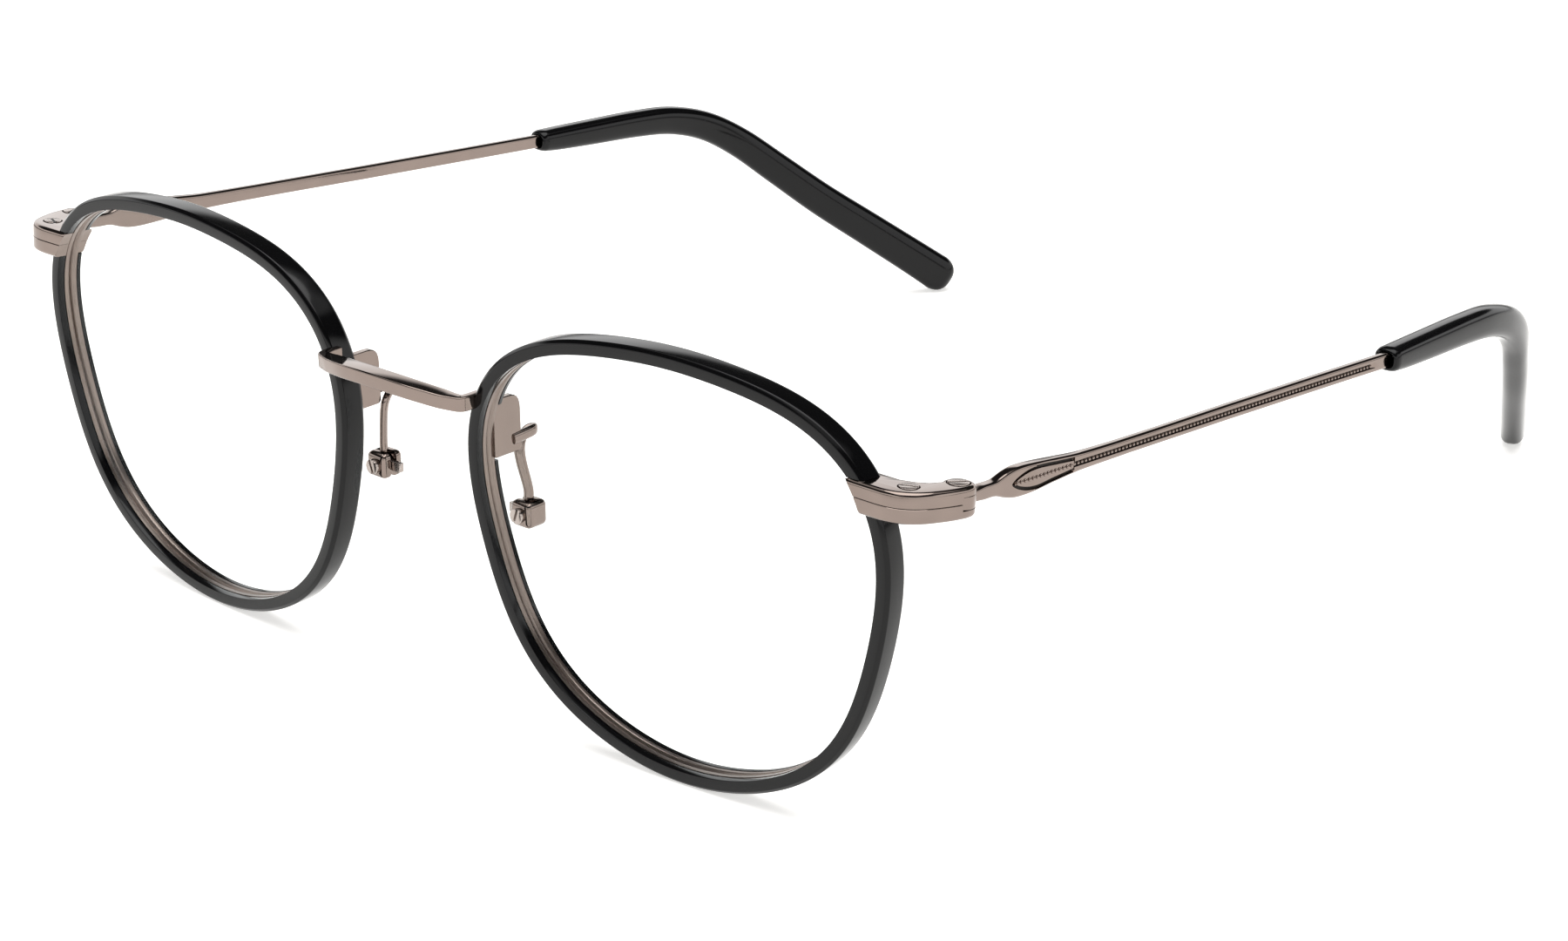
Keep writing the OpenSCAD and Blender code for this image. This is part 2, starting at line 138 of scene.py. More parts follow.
class GlassesColours(bpy.types.PropertyGroup):
    gunmetal: FloatVectorProperty(
        name="Gunmetal", description="Reflection colour of the gunmetal plating",
        subtype="COLOR", size=4, default=linear("#857871"), min=0, max=1)
    acetate: FloatVectorProperty(
        name="Acetate", description="Body colour of the black acetate",
        subtype="COLOR", size=4, default=linear("#09090a"), min=0, max=1)
    steel: FloatVectorProperty(
        name="Screw steel", description="Reflection colour of the screws and tabs",
        subtype="COLOR", size=4, default=linear("#a89d97"), min=0, max=1)
    floor: FloatVectorProperty(
        name="Floor", description="Colour of the studio floor",
        subtype="COLOR", size=4, default=linear("#f4f3f1"), min=0, max=1)


class GlassesStudio(bpy.types.PropertyGroup):
    azimuth: FloatProperty(
        name="Azimuth", description="Turn of the camera from straight ahead, towards the wearer's left",
        default=math.radians(42.346), subtype="ANGLE")
    elevation: FloatProperty(
        name="Elevation", description="Height of the camera above the level", default=math.radians(20.437),
        subtype="ANGLE")
    roll: FloatProperty(
        name="Roll", description="Roll of the camera about its own axis", default=math.radians(-0.147),
        subtype="ANGLE")
    key: FloatProperty(
        name="Key light", description="Strength of the broad overhead light", default=2.0, min=0)
    fill: FloatProperty(
        name="Fill", description="Strength of the light from all round", default=1.0, min=0)


# ---------------------------------------------------------------------------
# Materials


def add(tree, kind, settings=None, **links):
    """Adds one node, with its settings and what feeds its inputs."""
    node = tree.nodes.new(kind)
    for key, value in (settings or {}).items():
        if isinstance(key, str) and hasattr(node, key) and key not in node.inputs:
            setattr(node, key, value)
        else:
            node.inputs[key].default_value = value
    for key, source in links.items():
        socket = int(key[1:]) if key.startswith("_") else key.replace("_", " ")
        tree.links.new(source, node.inputs[socket])
    return node


def material(name):
    """An empty material and its tree."""
    made = bpy.data.materials.new(name)
    made.use_nodes = True
    made.node_tree.nodes.clear()
    return made, made.node_tree


def closed(made, surface):
    """The material, once its surface is joined to its output."""
    add(made.node_tree, "ShaderNodeOutputMaterial", Surface=surface)
    return made


def palette():
    return bpy.context.scene.glasses_colours


def pattern(tree, size_mm, detail=2.0, rough=0.5):
    """Noise fixed to the piece, one period about size_mm long."""
    place = add(tree, "ShaderNodeTexCoord").outputs["Object"]
    settings = {"Scale": 1 / (size_mm * MM), "Detail": detail, "Roughness": rough}
    return add(tree, "ShaderNodeTexNoise", settings, Vector=place).outputs["Fac"]


def between(tree, value, low, high, start=0.0, end=1.0):
    """A value that goes from start to end, mapped to go from low to high."""
    settings = {"From Min": start, "From Max": end, "To Min": low, "To Max": high}
    return add(tree, "ShaderNodeMapRange", settings, Value=value).outputs["Result"]


def bumped(tree, height, strength, depth_mm):
    settings = {"Strength": strength, "Distance": depth_mm * MM}
    return add(tree, "ShaderNodeBump", settings, Height=height).outputs["Normal"]


def shades(tree, value, colour, dark, start=0.0, end=1.0):
    """The colour, darkened by a factor where the value is at start and whole where it is at end."""
    ramp = add(tree, "ShaderNodeValToRGB", Fac=value)
    first, last = ramp.color_ramp.elements
    first.position, last.position = start, end
    first.color = [c * dark for c in colour[:3]] + [1]
    last.color = colour
    return ramp.outputs["Color"]


def polished_gunmetal(name="gunmetal_plated_titanium_polished", smooth=0.05, dull=0.1):
    """Titanium alloy, gunmetal plated and polished: near-mirror grey-brown metal whose slow waviness
    bends reflections, with buffing marks about 0.5 mm apart that only change how sharp they are."""
    made, tree = material(name)
    wave = pattern(tree, 3, 1.0)
    body = add(tree, "ShaderNodeBsdfPrincipled", {"Metallic": 1.0},
               Base_Color=shades(tree, wave, palette().gunmetal, 0.93, 0.3, 0.7),
               Roughness=between(tree, pattern(tree, 0.5, 3.0, 0.6), smooth, dull),
               Normal=bumped(tree, wave, 0.1, 0.02))
    return closed(made, body.outputs["BSDF"])


def satin_gunmetal():
    """The same plating inside the eyewires, left satin by the bending rolls, so its reflections blur."""
    return polished_gunmetal("gunmetal_plated_titanium_satin", 0.26, 0.34)


def black_acetate():
    """Black cellulose acetate, machined and tumble polished: a deep black body under a soft gloss, very
    slightly uneven at a few millimetres, with fine handling marks in the gloss."""
    made, tree = material("cellulose_acetate_black_tumbled")
    wave = pattern(tree, 4, 1.0)
    body = add(tree, "ShaderNodeBsdfPrincipled", {"IOR": 1.48, "Specular IOR Level": 0.24},
               Base_Color=shades(tree, wave, palette().acetate, 0.8),
               Roughness=between(tree, pattern(tree, 0.9, 4.0, 0.65), 0.08, 0.14),
               Normal=bumped(tree, wave, 0.1, 0.03))
    return closed(made, body.outputs["BSDF"])


def turned_steel():
    """Stainless steel, turned and lightly polished: fine marks about 0.12 mm apart on the heads and tabs."""
    made, tree = material("stainless_steel_turned")
    marks = pattern(tree, 0.12)
    body = add(tree, "ShaderNodeBsdfPrincipled", {"Metallic": 1.0, "Base Color": palette().steel},
               Roughness=between(tree, marks, 0.16, 0.3), Normal=bumped(tree, marks, 0.15, 0.008))
    return closed(made, body.outputs["BSDF"])


def see_through(tree, gloss, body, start, low, high, **links):
    """A see-through body with a gloss that grows from low to high at a glancing angle, outside only."""
    coat = add(tree, "ShaderNodeBsdfGlossy", {"Color": linear(gloss)}, **links)
    through = add(tree, "ShaderNodeBsdfTransparent", {"Color": linear(body)})
    facing = add(tree, "ShaderNodeLayerWeight", {"Blend": 0.5}).outputs["Facing"]
    inside = add(tree, "ShaderNodeNewGeometry").outputs["Backfacing"]
    outside = add(tree, "ShaderNodeMath", {"operation": "SUBTRACT", 0: 1.0}, _1=inside).outputs["Value"]
    share = add(tree, "ShaderNodeMath", {"operation": "MULTIPLY"},
                _0=between(tree, facing, low, high, start), _1=outside).outputs["Value"]
    mixed = add(tree, "ShaderNodeMixShader", _0=share, _1=through.outputs["BSDF"], _2=coat.outputs["BSDF"])
    return mixed.outputs["Shader"]


def clear_lens():
    """Cast CR-39 optical plastic, polished and anti-reflection coated: almost invisible, with a faint
    cool gloss that grows at a glancing angle."""
    made, tree = material("cr39_lens_cast_coated")
    rough = between(tree, pattern(tree, 14, 1.0), 0.0, 0.02)
    return closed(made, see_through(tree, "#eef4f6", "#fcfdfd", 0.6, 0.002, 0.12, Roughness=rough))


def clear_pad():
    """Moulded clear silicone: soft, water-clear and slightly hazy, with a fine satin from the mould."""
    made, tree = material("silicone_clear_moulded")
    satin = pattern(tree, 0.3)
    return closed(made, see_through(tree, "#f3f5f5", "#fafbfb", 0.4, 0.01, 0.3,
                                    Roughness=between(tree, satin, 0.1, 0.2),
                                    Normal=bumped(tree, satin, 0.1, 0.01)))


def studio_floor():
    """Opal acrylic light table, lit from below: glows so that shadows stay faint, less and less away from
    its middle, with a fine matt tooth."""
    made, tree = material("opal_acrylic_light_table")
    place = add(tree, "ShaderNodeTexCoord").outputs["Object"]
    matt = add(tree, "ShaderNodeBsdfDiffuse", {"Color": palette().floor},
               Normal=bumped(tree, pattern(tree, 0.8), 0.05, 0.02))
    reach = add(tree, "ShaderNodeVectorMath", {"operation": "LENGTH"}, Vector=place).outputs["Value"]
    glow = add(tree, "ShaderNodeEmission", {"Color": palette().floor},
               Strength=between(tree, reach, 0.62, 0.1, 0.3, 0.7))
    both = add(tree, "ShaderNodeAddShader", _0=matt.outputs["BSDF"], _1=glow.outputs["Emission"])
    return closed(made, both.outputs["Shader"])


def painted_shade_recess():
    """Painted shade: the gunmetal plating made dark and dull, laid in the milled grooves and the screw slots
    where shade falls.
    """
    made, tree = material("gunmetal_painted_shade_recess")
    # The dark #231f1d here is painted shade, not a colour that the plating has.
    body = add(tree, "ShaderNodeBsdfPrincipled", {"Metallic": 1.0, "Base Color": linear("#231f1d")},
               Roughness=between(tree, pattern(tree, 0.2), 0.35, 0.55))
    return closed(made, body.outputs["BSDF"])


MADE = {}


def shared(maker):
    """The one material of that maker, made when it is first needed."""
    if maker not in MADE:
        MADE[maker] = maker()
    return MADE[maker]


# ---------------------------------------------------------------------------
# Shapes: everything is drawn in millimetres on the wearer's left, then mirrored for the right


def lobe(angle):
    """Radius of the rim outline before it is scaled: wide, tapered to the bottom, squared corners."""
    return (1 + 0.074 * math.cos(2 * angle) + 0.049 * math.sin(3 * angle) - 0.0236 * math.cos(4 * angle)
            + 0.010 * math.sin(5 * angle) - 0.0092 * math.cos(6 * angle))


RAW = [(lobe(a) * math.cos(a), lobe(a) * math.sin(a)) for a in (math.radians(i / 2) for i in range(720))]
SCALE_X = RIM_W / (max(p[0] for p in RAW) - min(p[0] for p in RAW))
SCALE_Y = RIM_H / (max(p[1] for p in RAW) - min(p[1] for p in RAW))


def outline(angle, inset=0.0):
    """Point (x, z) on the rim outline, moved in by inset along the outline's normal."""
    def at(a):
        return Vector((lobe(a) * math.cos(a) * SCALE_X, lobe(a) * math.sin(a) * SCALE_Y))
    step = 0.004
    along = (at(angle + step) - at(angle - step)).normalized()
    return at(angle) - inset * Vector((along.y, -along.x))


EYE_TURN = Matrix.Translation(EYE) @ Matrix.Rotation(LEAN, 4, "X") @ Matrix.Rotation(WRAP, 4, "Z")
HINGE_TURN = Matrix.Translation(HINGE) @ Matrix.Rotation(-SLOPE, 4, "X")


def in_eye(x, depth, z):
    return EYE_TURN @ Vector((x, depth, z))


def on_eye(angle, inset, depth):
    """Point on the rim outline, moved in by inset and back by depth, in its place on the front."""
    p = outline(angle, inset)
    return in_eye(p.x, depth, p.y)


def in_hinge(x, y, z):
    return HINGE_TURN @ Vector((x, y, z))


def round_about(count, shift=0.0):
    """The angles of count equal steps round a circle."""
    return [2 * math.pi * (k + shift) / count for k in range(count)]


def rounded(corners, steps=3):
    """Closed profile from corners (x, y, radius), each corner with a radius turned into an arc."""
    made = []
    count = len(corners)
    for i, (x, y, radius) in enumerate(corners):
        here = Vector((x, y))
        if radius <= 0:
            made.append(here)
            continue
        before = Vector(corners[i - 1][:2]) - here
        after = Vector(corners[(i + 1) % count][:2]) - here
        reach = min(radius, before.length * 0.45, after.length * 0.45)
        a, b = here + before.normalized() * reach, here + after.normalized() * reach
        for k in range(steps + 1):
            t = k / steps
            made.append(a * (1 - t) ** 2 + here * 2 * t * (1 - t) + b * t ** 2)
    return made


def smooth_path(points, steps):
    """Catmull-Rom curve through rows of numbers, steps points to each span."""
    rows = [list(points[0])] + [list(p) for p in points] + [list(points[-1])]
    rows[0] = [2 * a - b for a, b in zip(rows[1], rows[2])]
    rows[-1] = [2 * a - b for a, b in zip(rows[-2], rows[-3])]
    made = []
    for i in range(1, len(rows) - 2):
        p0, p1, p2, p3 = rows[i - 1:i + 3]
        for k in range(steps):
            t = k / steps
            made.append([0.5 * (2 * b + (c - a) * t + (2 * a - 5 * b + 4 * c - d) * t * t
                                + (3 * b - a - 3 * c + d) * t ** 3)
                         for a, b, c, d in zip(p0, p1, p2, p3)])
    made.append(rows[-2])
    return made


def skin(rings, loop=False):
    """bmesh through a row of closed rings of points, in millimetres."""
    bm = bmesh.new()
    rows = [[bm.verts.new(p) for p in ring] for ring in rings]
    spans = len(rows) if loop else len(rows) - 1
    count = len(rows[0])
    for i in range(spans):
        a, b = rows[i], rows[(i + 1) % len(rows)]
        for j in range(count):
            k = (j + 1) % count
            bm.faces.new((a[j], a[k], b[k], b[j]))
    if not loop:
        bm.faces.new(list(reversed(rows[0])))
        bm.faces.new(rows[-1])
    bmesh.ops.recalc_face_normals(bm, faces=bm.faces)
    return bm


def squared(value):
    """A sine or cosine that stays longer near its ends, which squares up a ring drawn with it."""
    return math.copysign(abs(value) ** 0.7, value)


def oval(at, first, second, count=24):
    """Ring round a point: a rounded rectangle that reaches first and second to its sides."""
    return [at + first * squared(math.cos(a)) + second * squared(math.sin(a))
            for a in round_about(count, 0.5)]


def level(along):
    """The level direction square to a path."""
    return along.cross(Vector((0, 0, 1))).normalized()


def square_ring(at, along, half_level, half_up):
    """Ring round a path point: a rounded rectangle square to the path, upright."""
    side = level(along)
    return oval(at, side * half_level, side.cross(along) * half_up)


def walk(rows):
    """Point, direction and row at each row of a path, whose first three numbers are the point."""
    path = [Vector(row[:3]) for row in rows]
    last = len(path) - 1
    for i, (at, row) in enumerate(zip(path, rows)):
        yield at, (path[min(i + 1, last)] - path[max(i - 1, 0)]).normalized(), row


def finished(bm, name, side, body, maker, slot_name, *nodes, sharp=32.0):
    """A piece from a bmesh in millimetres: mirrored for its side, smooth between real edges, in its maker's
    material, riding its body and standing for its CAD nodes."""
    if side < 0:
        bmesh.ops.scale(bm, vec=(-1, 1, 1), verts=bm.verts)
        bmesh.ops.reverse_faces(bm, faces=bm.faces)
    bmesh.ops.scale(bm, vec=(MM, MM, MM), verts=bm.verts)
    mesh = bpy.data.meshes.new(name)
    bm.to_mesh(mesh)
    bm.free()
    mesh.shade_smooth()
    mesh.set_sharp_from_angle(angle=math.radians(sharp))
    piece = bpy.data.objects.new(name, mesh)
    bpy.context.scene.collection.objects.link(piece)
    mesh.materials.append(shared(maker))
    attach(piece, body)
    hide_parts(*nodes)
    return piece


def carve(bm, cutter):
    """The first bmesh less the second, by Blender's exact boolean."""
    objects = []
    for source in (bm, cutter):
        mesh = bpy.data.meshes.new("carving")
        source.to_mesh(mesh)
        source.free()
        made = bpy.data.objects.new("carving", mesh)
        bpy.context.scene.collection.objects.link(made)
        objects.append(made)
    cut = objects[0].modifiers.new("cut", "BOOLEAN")
    cut.operation = "DIFFERENCE"
    cut.solver = "EXACT"
    cut.object = objects[1]
    graph = bpy.context.evaluated_depsgraph_get()
    result = bmesh.new()
    result.from_mesh(objects[0].evaluated_get(graph).to_mesh())
    for made in objects:
        mesh = made.data
        bpy.data.objects.remove(made)
        bpy.data.meshes.remove(mesh)
    if not result.faces:
        raise RuntimeError("a cut left nothing")
    return result


def block(low, high, turn=Matrix.Identity(4)):
    """A box as a cutter, between two corners, in a frame of its own."""
    bm = bmesh.new()
    bmesh.ops.create_cube(bm, size=1.0)
    for v in bm.verts:
        v.co = turn @ Vector([(lo + hi) / 2 + c * (hi - lo) for lo, hi, c in zip(low, high, v.co)])
    return bm


def drum(radius, low, high, x, y):
    """A cylinder as a cutter, upright in the hinge's frame."""
    bm = bmesh.new()
    bmesh.ops.create_cone(bm, cap_ends=True, segments=48, radius1=radius, radius2=radius, depth=high - low)
    for v in bm.verts:
        v.co = in_hinge(v.co.x + x, v.co.y + y, v.co.z + (low + high) / 2)
    return bm


def eye_plug(inset, front, back):
    """Everything inside the rim outline drawn in by inset, between two depths, as a cutter."""
    return skin([[on_eye(a, inset, depth) for a in round_about(160)] for depth in (front, back)])


def softened(node, width):
    """A copy of a CAD node's solid in millimetres, with its edges tumbled to a radius."""
    source = frame["nodes"][node]
    bm = bmesh.new()
    bm.from_mesh(source.data)
    bmesh.ops.transform(bm, matrix=source.matrix_world, verts=bm.verts)
    bmesh.ops.scale(bm, vec=(1 / MM, 1 / MM, 1 / MM), verts=bm.verts)
    bmesh.ops.remove_doubles(bm, verts=bm.verts, dist=0.002)
    bmesh.ops.dissolve_limit(bm, angle_limit=math.radians(1.5), verts=bm.verts, edges=bm.edges)
    hard = [e for e in bm.edges if len(e.link_faces) == 2 and e.calc_face_angle() > math.radians(30)]
    bmesh.ops.bevel(bm, geom=hard, offset=width, segments=2, profile=0.5, affect="EDGES",
                    clamp_overlap=True)
    return bm


# ---------------------------------------------------------------------------
# Operators: one for each piece or group of like pieces


class GLASSES_OT_rims(bpy.types.Operator):
    """Two C-shaped black rims that cover the eyewires from one side of the end piece round to the other"""
    bl_idname = "glasses.rims"
    bl_label = "Black rims"

    def execute(self, context):
        sizes = context.scene.glasses_sizes
        edge = sizes.edge_radius / MM
        profile = rounded([
            (RIM_FACE, 0, edge), (RIM_BEVEL, 0, edge), (0, RIM_BEVEL, edge), (0, RIM_DEPTH - 0.5, 0.2),
            (0.5, RIM_DEPTH, 0.2), (RIM_FACE + 0.1, RIM_DEPTH, edge), (RIM_FACE + 0.1, WIRE_BACK + 0.01, 0),
            (RIM_WALL - 0.01, WIRE_BACK + 0.01, 0), (RIM_WALL - 0.01, LIP_FRONT - 0.01, 0),
            (RIM_FACE, LIP_FRONT - 0.01, edge)])
        for side_name, side in SIDES:
            bm = skin(self.rings(profile, sizes.outline_steps))
            low, high = PLATE_BOX
            bm = carve(bm, block((low.x - 0.03, EYE.y, low.z - 0.35), (high.x + 0.6, high.y, high.z + 0.03)))
            finished(bm, f"rim_{side_name}_acetate", side, "front", black_acetate, "black_acetate",
                     f"rim_{side_name}")
        return {"FINISHED"}

    @staticmethod
    def rings(profile, steps):
        """Sections from the top of the end piece, over the eye and down, to the bottom of the end piece."""
        def height(angle, inset, depth):
            return (on_eye(angle, inset, depth) - HINGE).dot(HINGE_AXIS)

        def where(target, inset, depth):
            low, high = math.radians(5), math.radians(60)
            for _ in range(40):
                mid = (low + high) / 2
                if height(mid, inset, depth) < target:
                    low = mid
                else:
                    high = mid
            return (low + high) / 2

        gap = 0.02
        ends = [(where(HALF_H + gap, n, d), where(-HALF_H - gap, n, d) + 2 * math.pi) for n, d in profile]
        return [[on_eye(first + (last - first) * k / steps, n, d)
                 for (n, d), (first, last) in zip(profile, ends)] for k in range(steps + 1)]


class GLASSES_OT_eyewires(bpy.types.Operator):
    """Two metal eyewires, grooved inside for the lens"""
    bl_idname = "glasses.eyewires"
    bl_label = "Eyewires"

    def execute(self, context):
        steps = context.scene.glasses_sizes.outline_steps
        middle = (GROOVE_FRONT + GROOVE_BACK) / 2
        profile = rounded([
            (RIM_WALL, LIP_FRONT, 0), (WIRE_IN, LIP_FRONT, 0), (WIRE_IN, GROOVE_FRONT - 0.05, 0.05),
            (WIRE_IN - GROOVE_DEPTH, middle, 0.1), (WIRE_IN, GROOVE_BACK + 0.05, 0.08),
            (WIRE_IN, WIRE_BACK, 0.06), (RIM_WALL, WIRE_BACK, 0)])
        for side_name, side in SIDES:
            rings = [[on_eye(angle, n, d) for n, d in profile] for angle in round_about(steps)]
            finished(skin(rings, loop=True), f"eyewire_{side_name}_metal", side, "front", satin_gunmetal,
                     "gunmetal", f"eyewire_{side_name}")
        return {"FINISHED"}


class GLASSES_OT_lenses(bpy.types.Operator):
    """Two clear meniscus lenses, their edges ground flat to fit inside the eyewires"""
    bl_idname = "glasses.lenses"
    bl_label = "Lenses"

    def execute(self, context):
        steps = context.scene.glasses_sizes.outline_steps // 2
        round_eye = round_about(steps)
        front_y = -LENS_LEAD

        def dome(radius, lead):
            return lead + LENS_CURVE - math.sqrt(LENS_CURVE ** 2 - radius ** 2)

        shares = [i / 10 for i in range(1, 11)]
        for side_name, side in SIDES:
            bm = bmesh.new()
            edge_inset = WIRE_IN + 0.2
            rows = []
            for lead, deepest, order in ((front_y, WIRE_BACK - 0.6, shares),
                                         (front_y + LENS_T, WIRE_BACK - 0.02, list(reversed(shares)))):
                for share in order:
                    points = [outline(angle, edge_inset) * share for angle in round_eye]
                    rows.append([in_eye(p.x, min(dome(p.length, lead), deepest), p.y) for p in points])
                if lead == front_y:
                    rows.append([on_eye(angle, edge_inset - 0.1, WIRE_BACK - 0.3) for angle in round_eye])
            verts = [[bm.verts.new(p) for p in row] for row in rows]
            for a, b in zip(verts, verts[1:]):
                for j in range(steps):
                    k = (j + 1) % steps
                    bm.faces.new((a[j], a[k], b[k], b[j]))
            for row, lead in ((verts[0], front_y), (verts[-1], front_y + LENS_T)):
                hub = bm.verts.new(in_eye(0, lead, 0))
                for j in range(steps):
                    bm.faces.new((row[j], row[(j + 1) % steps], hub))
            bmesh.ops.recalc_face_normals(bm, faces=bm.faces)
            finished(bm, f"lens_{side_name}_clear", side, "front", clear_lens, "lens_clear",
                     f"lens_{side_name}")
        return {"FINISHED"}


class GLASSES_OT_bridge(bpy.types.Operator):
    """The bar that bows forward and up between the rims, flat in front with small polished bevels"""
    bl_idname = "glasses.bridge"
    bl_label = "Bridge"

    def execute(self, context):
        end_x = RIM_GAP / 2 + BRIDGE_REACH
        end_y = EYE.y - BRIDGE_LEAD
        end_z = EYE.z + BRIDGE_UP
        bulge, rise = BRIDGE_BULGE, BRIDGE_RISE
        half = [
            (end_x, end_y + 2.6, end_z, 0.5), (end_x, end_y + 1.9, end_z, 0.5),
            (end_x, end_y + 1.3, end_z, 0.52), (end_x - 0.22, end_y + 0.38, end_z, 0.6),
            (end_x - 1.2, end_y, end_z + rise * 0.08, 0.72),
            (end_x * 0.75, end_y - bulge * 0.19, end_z + rise * 0.22, 0.95),
            (end_x * 0.46, end_y - bulge * 0.71, end_z + rise * 0.7, 1.05),
            (end_x * 0.15, end_y - bulge * 0.98, end_z + rise * 0.98, 1.05)]
        points = half + [(-x, y, z, d) for x, y, z, d in reversed(half)]
        profile = rounded([(-1, -1, 0.24), (1, -1, 0.24), (1, 1, 0.24), (-1, 1, 0.24)], 4)
        rings = []
        for at, along, row in walk(smooth_path(points, 8)):
            side = level(along)
            up = side.cross(along)
            rings.append([at + side * p.x * row[3] + up * p.y * (BRIDGE_H / 2) for p in profile])
        finished(skin(rings), "bridge_bar", 1, "front", polished_gunmetal, "gunmetal", "bridge")
        return {"FINISHED"}


class GLASSES_OT_end_pieces(bpy.types.Operator):
    """The split blocks that close the eyewires and carry the outer hinge knuckles"""
    bl_idname = "glasses.end_pieces"
    bl_label = "End pieces"

    FRONT = [
        (-8, -7.1, 0), (-5, -7.15, 0), (-3.2, -7.12, 0), (-1.7, -6.75, 0), (-0.5, -5.9, 0), (0.35, -4.7, 0),
        (0.95, -3.3, 0), (1.4, -1.9, 0), (1.68, -0.5, 0)]
    BACK = [(-1.55, -1.0), (-2.0, -1.9), (-2.9, -2.6), (-4.2, -3.1), (-8, -3.2)]
    EDGE = 0.48

    def execute(self, context):
        for side_name, side in SIDES:
            for half, way in (("upper", 1), ("lower", -1)):
                node = f"endpiece_{half}_{side_name}"
                finished(self.half(way), f"{node}_metal", side, "front", polished_gunmetal, "gunmetal",
                         node, sharp=34)
        return {"FINISHED"}

    def plan(self, inset):
        """The outline from above, drawn in by inset."""
        points = [Vector(row[:2]) for row in smooth_path(self.FRONT, 5)]
        points += [Vector((KNUCKLE_R * math.cos(a), KNUCKLE_R * math.sin(a)))
                   for a in (math.radians(8 + 202 * k / 18) for k in range(19))]
        points += [Vector(p) for p in self.BACK]
        made = []
        for k, here in enumerate(points):
            along = (points[(k + 1) % len(points)] - points[k - 1]).normalized()
            made.append(here - inset * Vector((along.y, -along.x)))
        return made

    def half(self, way):
        """The upper half (way 1) or lower (way -1), cut for the rim, eyewire, knuckle and screws."""
        levels = [(0.015, 0.05), (0.065, 0.0), (HALF_H - self.EDGE, 0.0)]
        for k in range(1, 6):
            a = math.pi / 2 * k / 5
            levels.append((HALF_H - self.EDGE * (1 - math.sin(a)), self.EDGE * (1 - math.cos(a))))
        bm = skin([[in_hinge(p.x, p.y, way * z) for p in self.plan(inset)] for z, inset in levels])
        bm = carve(bm, eye_plug(RIM_FACE, -4, 8))
        bm = carve(bm, eye_plug(RIM_WALL, LIP_FRONT, WIRE_BACK))
        bm = carve(bm, drum(KNUCKLE_R + 0.2, -KNUCKLE_HALF - 0.04, KNUCKLE_HALF + 0.04, 0, 0))
        if way > 0:
            for x, y, radius in SCREWS.values():
                bm = carve(bm, drum(radius + 0.15, HALF_H - 0.45, HALF_H + 1, x, y))
        return bm


class GLASSES_OT_screws(bpy.types.Operator):
    """The slotted rim, hinge and pad screws, with their edges broken and a dark strip of painted shade sunk
    in each slot
    """
    bl_idname = "glasses.screws"
    bl_label = "Screws"

    SLOT_TURN = {"rim": 25, "hinge": 60}

    def execute(self, context):
        for side_name, side in SIDES:
            for kind in ("rim", "hinge", "pad"):
                node = f"{kind}_screw_{side_name}"
                finished(softened(node, 0.05), f"{node}_steel", 1, "front", turned_steel, "screw_steel", node,
                         sharp=40)
            for kind, (x, y, radius) in SCREWS.items():
                # A thin dark strip in each slot is painted shade, standing in for the shade that falls inside
                # it.
                turn = HINGE_TURN @ Matrix.Translation((x, y, HALF_H - 0.02))
                turn = turn @ Matrix.Rotation(math.radians(self.SLOT_TURN[kind]), 4, "Z")
                strip = block((-radius + 0.06, -0.17, -0.06), (radius - 0.06, 0.17, 0.06), turn)
                node = f"{kind}_screw_{side_name}"
                finished(strip, f"{node}_slot", side, "front", painted_shade_recess, "screw_steel", node)
        return {"FINISHED"}


